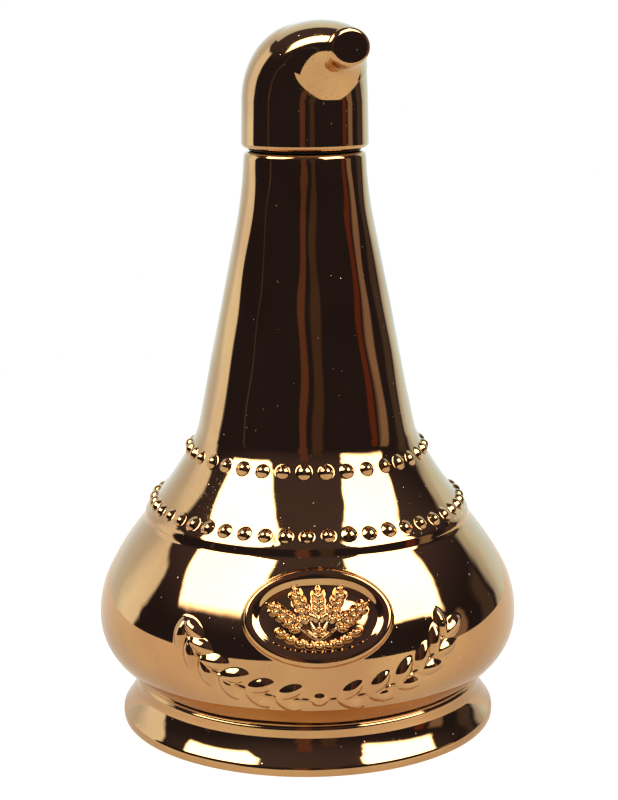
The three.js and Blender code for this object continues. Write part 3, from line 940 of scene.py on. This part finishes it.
def cork_line():
    """The cork's outline from the middle of its bottom to the middle of its top."""
    low, high, bevel = CORK["bottom_z"], CORK["top_z"], CORK["bevel"]
    side = [(CORK["bottom_r"] + (CORK["top_r"] - CORK["bottom_r"]) * t, low + (high - low) * t)
            for t in np.linspace(*CORK["side_rows"])]
    parts = [
        (0.0, low),
        (CORK["bottom_r"] - bevel, low),
        *side,
        (CORK["top_r"] - bevel, high),
        (0.0, high),
    ]
    line = soften(resample(parts), CORK["softness"])[::CORK["rows_each"]]
    return line[line[:, 0] > CORK["centre_hole"]]


def make_cork(material):
    """A tapered cork with small pits in its side."""
    low, high = CORK["bottom_z"], CORK["top_z"]
    margin = PITS["end_margin"]
    pits = [(rng.uniform(0, TURN), rng.uniform(low + margin, high - margin),
             rng.uniform(*PITS["depth"]), rng.uniform(*PITS["half_length"])) for _ in range(PITS["count"])]

    def wobble(angles, z):
        dent = np.zeros_like(angles)
        for angle, pit_z, depth, length in pits:
            across = ((angles - angle + math.pi) % TURN - math.pi) * PITS["radius"]
            dent -= depth * np.exp(-(across / length) ** 2 - ((z - pit_z) / PITS["half_height"]) ** 2)
        return np.clip(dent, -PITS["deepest"], 0)

    rows = turned_rows(cork_line(), SMALL_COLUMNS, wobble)
    points = np.vstack([(0, 0, low), *rows, (0, 0, high)])
    made = make_object("cork_plug", points, capped_faces(len(rows), SMALL_COLUMNS), [material])
    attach(made, "stopper")
    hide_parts("stopper_cork")


def make_washer(material):
    """A thin flat ring with a rounded edge."""
    half = 0.5 * (WASHER["high_z"] - WASHER["low_z"])
    middle = WASHER["low_z"] + half
    outer = arc(WASHER["outer_r"] - half, middle, half, -90, 90)
    inner = arc(WASHER["inner_r"] + half, middle, half, 90, 270)
    rows = turned_rows(np.vstack([outer, inner]), SMALL_COLUMNS)
    faces = []
    for k in range(len(rows)):
        faces += ring_faces(k * SMALL_COLUMNS, (k + 1) % len(rows) * SMALL_COLUMNS, SMALL_COLUMNS)
    made = make_object("rubber_washer", np.vstack(rows), faces, [material])
    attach(made, "washer")
    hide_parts("seat_washer")


# ---- materials ---------------------------------------------------------------------
# A scale is in cells to a metre, and a bump's distance is in metres.

LUSTRE = {"copper": (0.600, 0.350, 0.150, 1), "rose": (0.540, 0.290, 0.130, 1),
          "pinhole": (0.78, 0.62, 0.44, 1), "dull": (0.40, 0.27, 0.14, 1), "dull_share": 0.6,
          "roughness": 0.035, "dull_roughness": 0.18, "pinhole_roughness": 0.3, "orange_peel": 0.05}
PINHOLE = {"scale": 420.0, "size": 0.145, "rim": -0.02, "core": -0.09}
STONEWARE = {"cream": (0.62, 0.55, 0.44, 1), "pale": (0.70, 0.65, 0.56, 1), "sand": (0.36, 0.29, 0.22, 1)}
CORK_LOOK = {"light": (0.62, 0.42, 0.25, 1), "dark": (0.42, 0.26, 0.14, 1),
             "pore": (0.12, 0.065, 0.035, 1), "pore_scale": 330.0, "grain_depth": 0.4}
RUBBER = {"black": (0.012, 0.010, 0.009, 1), "dusty": (0.05, 0.045, 0.04, 1)}


def new_material(name):
    """A material, its nodes, and the place on the object."""
    material = bpy.data.materials.new(name)
    material.use_nodes = True
    nodes = Nodes(material.node_tree)
    return material, nodes, nodes.add("ShaderNodeTexCoord").outputs["Object"]


def finish_material(nodes, surface, height, strength, distance):
    """A shader with these inputs and fine bumps, joined to the material's output."""
    bump = nodes.add("ShaderNodeBump", {"Strength": strength, "Distance": distance, "Height": height})
    shader = nodes.add("ShaderNodeBsdfPrincipled", surface)
    nodes.set(shader.inputs["Normal"], bump.outputs[0])
    nodes.set(nodes.add("ShaderNodeOutputMaterial").inputs["Surface"], shader.outputs[0])


def pinholes(nodes, place):
    """Small round specks of many sizes: 1 inside a speck, 0 between them."""
    specks = nodes.add("ShaderNodeTexVoronoi", {"Scale": PINHOLE["scale"], "Vector": place})
    chance = nodes.add("ShaderNodeSeparateColor", {0: specks.outputs["Color"]}).outputs[0]
    size = nodes.times(chance, PINHOLE["size"])
    rim, core = nodes.plus(size, PINHOLE["rim"]), nodes.plus(size, PINHOLE["core"])
    return nodes.smooth(specks.outputs["Distance"], rim, core)


def lustre_glaze():
    """Copper lustre over a gloss glaze: mirror metal with faint clouds of tone and pinholes."""
    material, nodes, place = new_material("copper_lustre")
    pinhole = pinholes(nodes, place)
    haze = nodes.smooth(nodes.noise(place, scale=900, detail=2), low=0.52, high=0.75)
    patches = nodes.smooth(nodes.noise(place, scale=24, detail=3), low=0.5, high=0.72)
    dull = nodes.times(haze, patches)
    clouds = nodes.smooth(nodes.noise(place, scale=38, detail=4), low=0.35, high=0.7)
    colour = nodes.mix(clouds, LUSTRE["copper"], LUSTRE["rose"])
    colour = nodes.mix(pinhole, colour, LUSTRE["pinhole"])
    colour = nodes.mix(nodes.times(dull, LUSTRE["dull_share"]), colour, LUSTRE["dull"])
    roughness = nodes.plus(nodes.times(dull, LUSTRE["dull_roughness"]), LUSTRE["roughness"])
    in_pinhole = nodes.times(pinhole, LUSTRE["pinhole_roughness"])
    roughness = nodes.plus(roughness, in_pinhole, clamp=True)
    orange_peel = nodes.times(nodes.noise(place, scale=260, detail=2), LUSTRE["orange_peel"])
    height = nodes.minus(orange_peel, pinhole)
    surface = {"Base Color": colour, "Metallic": 1.0, "Roughness": roughness}
    finish_material(nodes, surface, height, strength=0.25, distance=0.00012)
    return material


def biscuit():
    """Unglazed pale stoneware, a little sandy."""
    material, nodes, place = new_material("bare_stoneware")
    grain = nodes.noise(place, scale=1400, detail=3)
    clouds = nodes.smooth(nodes.noise(place, scale=60, detail=3), low=0.35, high=0.7)
    colour = nodes.mix(clouds, STONEWARE["cream"], STONEWARE["pale"])
    colour = nodes.mix(nodes.smooth(grain, low=0.62, high=0.75), colour, STONEWARE["sand"])
    surface = {"Base Color": colour, "Roughness": 0.8}
    finish_material(nodes, surface, grain, strength=0.4, distance=0.0001)
    return material


def natural_cork():
    """Tan cork with darker grain and fine dark pores."""
    material, nodes, place = new_material("natural_cork")
    grain = nodes.noise(place, scale=420, detail=5, roughness=0.65)
    cells = nodes.add("ShaderNodeTexVoronoi", {"Scale": CORK_LOOK["pore_scale"], "Vector": place})
    pores = nodes.smooth(cells.outputs["Distance"], low=0.22, high=0.08)
    colour = nodes.mix(nodes.smooth(grain, low=0.35, high=0.68), CORK_LOOK["light"], CORK_LOOK["dark"])
    colour = nodes.mix(pores, colour, CORK_LOOK["pore"])
    height = nodes.minus(nodes.times(grain, CORK_LOOK["grain_depth"]), pores)
    surface = {"Base Color": colour, "Roughness": 0.85}
    finish_material(nodes, surface, height, strength=0.7, distance=0.0002)
    return material


def washer_rubber():
    """Nearly black rubber with a little dust."""
    material, nodes, place = new_material("dark_rubber")
    dust = nodes.noise(place, scale=500, detail=4)
    colour = nodes.mix(nodes.smooth(dust, low=0.5, high=0.8), RUBBER["black"], RUBBER["dusty"])
    roughness = nodes.smooth(dust, low=0.2, high=0.8, start=0.5, end=0.8)
    surface = {"Base Color": colour, "Roughness": roughness}
    finish_material(nodes, surface, dust, strength=0.3, distance=0.00005)
    return material


make_camera()
make_studio()
make_table()
GLAZE = lustre_glaze()
BISCUIT = biscuit()
make_decanter(GLAZE, BISCUIT)
make_head(GLAZE, BISCUIT)
make_cork(natural_cork())
make_washer(washer_rubber())
